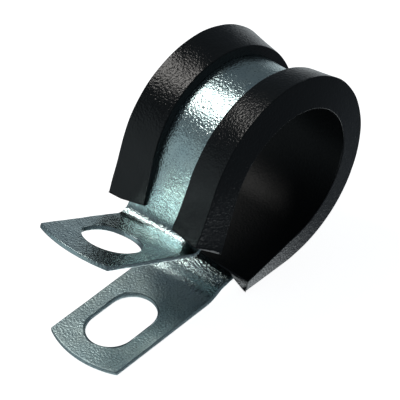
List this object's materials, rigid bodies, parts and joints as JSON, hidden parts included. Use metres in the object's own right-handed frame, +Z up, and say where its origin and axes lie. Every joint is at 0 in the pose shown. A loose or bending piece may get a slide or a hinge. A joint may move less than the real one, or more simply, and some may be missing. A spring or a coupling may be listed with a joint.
{
  "type": "p clip",
  "caption": "Rubber-lined P clip: a folded steel strap whose slotted ears close a looped rubber channel round a pipe or cable.",
  "frame": {"origin": "centre of the bore the liner makes, halfway along its width", "axes": "+Y along the bore, +Z up from the plane the lower ear is bolted to, and the ears point towards -X"},
  "size_m": [0.0569, 0.0228, 0.0365],
  "materials": {
    "zinc_plated_steel": "bright zinc plate, lightly mottled",
    "black_rubber": "satin black"
  },
  "bodies": {
    "root": {"steel_strap": "zinc_plated_steel", "rubber_liner": "black_rubber"}
  },
  "joints": []
}
